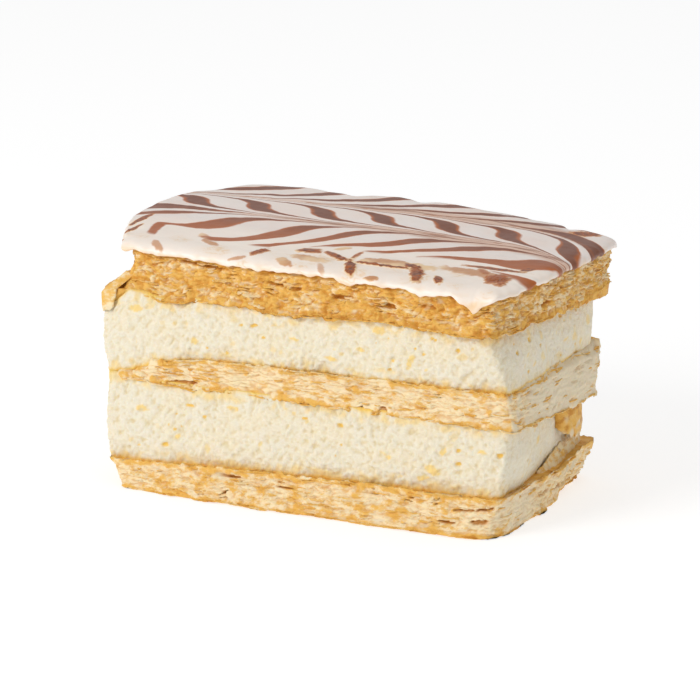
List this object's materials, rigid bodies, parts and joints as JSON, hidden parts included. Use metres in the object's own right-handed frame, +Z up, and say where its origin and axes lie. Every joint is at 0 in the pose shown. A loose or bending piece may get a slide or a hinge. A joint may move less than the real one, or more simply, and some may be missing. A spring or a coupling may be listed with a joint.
{
  "type": "mille feuille slice",
  "caption": "Oblong slice of puff pastry and whipped cream in alternate layers, topped with feathered chocolate and white icing; rests on its flat base.",
  "frame": {"origin": "on the table, under the middle of the slice's bounding box", "axes": "+X along the slice to its right end, +Y from the front face to the back face, +Z up"},
  "size_m": [0.1212, 0.0694, 0.0682],
  "materials": {
    "pastry": "baked puff pastry, dry and flaky",
    "cream": "whipped custard cream, soft and moist",
    "icing": "set fondant icing with feathered chocolate lines, glossy"
  },
  "bodies": {
    "root": {"bottom_pastry": "pastry", "lower_cream": "cream", "middle_pastry": "pastry", "upper_cream": "cream", "top_pastry": "pastry", "icing": "icing"}
  },
  "joints": []
}
